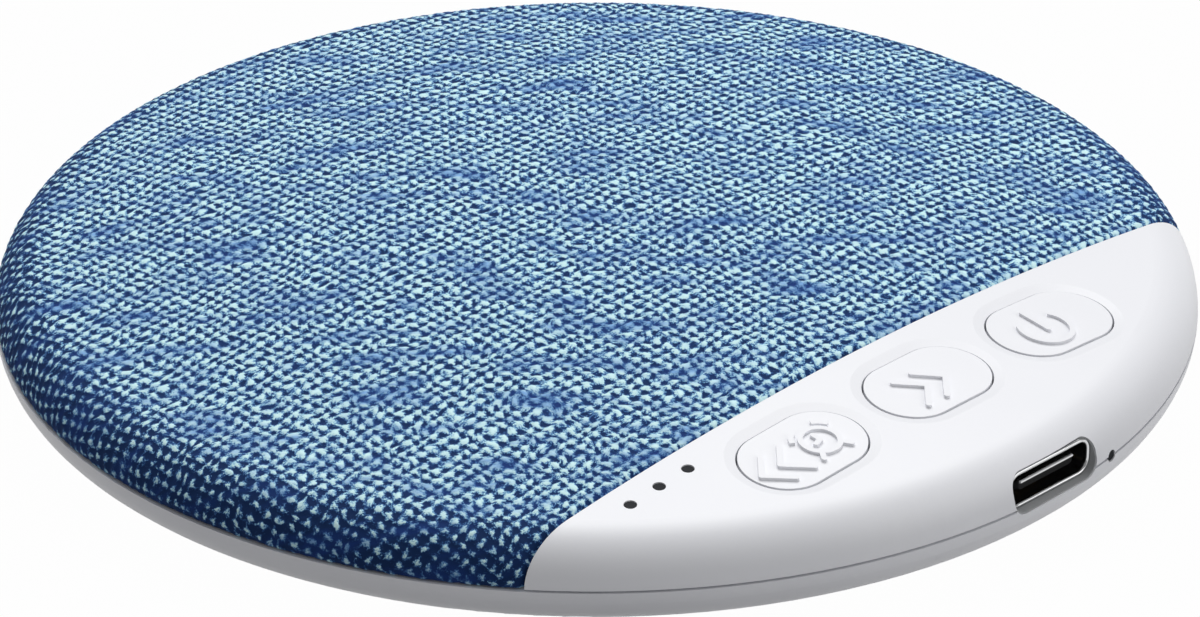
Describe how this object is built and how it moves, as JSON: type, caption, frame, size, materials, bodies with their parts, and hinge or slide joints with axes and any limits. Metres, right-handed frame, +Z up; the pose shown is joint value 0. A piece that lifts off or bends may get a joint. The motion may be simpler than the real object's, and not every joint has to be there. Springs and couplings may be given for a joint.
{
  "type": "white noise sound machine",
  "caption": "Round flat bedside or under-pillow sound machine: textile dome over a speaker, key panel with raised icons, timer lights and a USB-C charging port.",
  "frame": {"origin": "centre of the case on the plane that the four feet stand on", "axes": "+Z up through the fabric dome, -Y out of the charging port on the side of the key panel, +X to the right for a person who faces the port"},
  "size_m": [0.09, 0.0899, 0.012],
  "materials": {
    "white_abs": "satin moulded",
    "blue_textile": "woven, heathered",
    "black_rubber": "matte",
    "steel": "plated",
    "black_steel": "black zinc",
    "black_plastic": "moulded",
    "gold_plate": "plated",
    "green_board": "solder mask",
    "smoked_window": "smoked",
    "light_chip": "moulded",
    "clear_pipe": "clear",
    "battery_foil": "foil laminate",
    "foam": "foam",
    "connector_nylon": "moulded",
    "red_lead": "insulated",
    "black_lead": "insulated",
    "nickel": "nickel plated",
    "copper_winding": "enamelled wire",
    "cone_film": "pressed film",
    "ceramic": "fired"
  },
  "bodies": {
    "housing": {"amplifier_chip": "black_plastic", "battery": "battery_foil", "battery_connector": "connector_nylon", "battery_lead_black": "black_lead", "battery_lead_red": "red_lead", "battery_pad": "foam", "board_screws": "steel", "case_screws": "steel", "charge_led": "light_chip", "charge_light_pipe": "clear_pipe", "charger_chip": "black_plastic", "chip_capacitors": "ceramic", "chip_resistors": "black_plastic", "crystal": "nickel", "fabric_cover": "blue_textile", "foot_front_left": "black_rubber", "foot_front_right": "black_rubber", "foot_rear_left": "black_rubber", "foot_rear_right": "black_rubber", "inductor": "black_plastic", "lower_shell": "white_abs", "main_board": "green_board", "memory_chip": "black_plastic", "next_switch": "black_plastic", "power_switch": "black_plastic", "previous_switch": "black_plastic", "sound_chip": "black_plastic", "speaker_basket": "black_steel", "speaker_connector": "connector_nylon", "speaker_gasket": "foam", "speaker_lead_black": "black_lead", "speaker_lead_red": "red_lead", "speaker_magnet": "nickel", "speaker_terminals": "green_board", "speaker_top_plate": "steel", "speaker_yoke": "steel", "surround": "black_rubber", "timer_led_1": "light_chip", "timer_led_2": "light_chip", "timer_led_3": "light_chip", "timer_window_1": "smoked_window", "timer_window_2": "smoked_window", "timer_window_3": "smoked_window", "upper_shell": "white_abs", "usb_contacts": "gold_plate", "usb_shell": "steel", "usb_tongue": "black_plastic"},
    "previous_key": {"previous_key": "white_abs"},
    "next_key": {"next_key": "white_abs"},
    "power_key": {"power_key": "white_abs"},
    "previous_button": {"previous_switch_button": "connector_nylon"},
    "next_button": {"next_switch_button": "connector_nylon"},
    "power_button": {"power_switch_button": "connector_nylon"},
    "cone": {"diaphragm": "cone_film", "voice_coil": "copper_winding"}
  },
  "joints": [
    {"name": "previous_key_press", "type": "slide", "parent": "housing", "child": "previous_key", "axis": [0, 0, -1], "range_m": [0, 0.0003], "stiffness_N_per_m": 4000},
    {"name": "previous_button_press", "type": "slide", "parent": "housing", "child": "previous_button", "axis": [0, 0, -1], "range_m": [0, 0.0003]},
    {"name": "next_key_press", "type": "slide", "parent": "housing", "child": "next_key", "axis": [0, 0, -1], "range_m": [0, 0.0003], "stiffness_N_per_m": 4000},
    {"name": "next_button_press", "type": "slide", "parent": "housing", "child": "next_button", "axis": [0, 0, -1], "range_m": [0, 0.0003]},
    {"name": "power_key_press", "type": "slide", "parent": "housing", "child": "power_key", "axis": [0, 0, -1], "range_m": [0, 0.0003], "stiffness_N_per_m": 4000},
    {"name": "power_button_press", "type": "slide", "parent": "housing", "child": "power_button", "axis": [0, 0, -1], "range_m": [0, 0.0003]},
    {"name": "cone_travel", "type": "slide", "parent": "housing", "child": "cone", "axis": [0, 0, 1], "range_m": [-0.0003, 0.0003], "stiffness_N_per_m": 1500, "deforming": ["surround"]}
  ],
  "couplings": [
    {"joint": "previous_button_press", "follows": "previous_key_press", "ratio": 1},
    {"joint": "next_button_press", "follows": "next_key_press", "ratio": 1},
    {"joint": "power_button_press", "follows": "power_key_press", "ratio": 1}
  ]
}
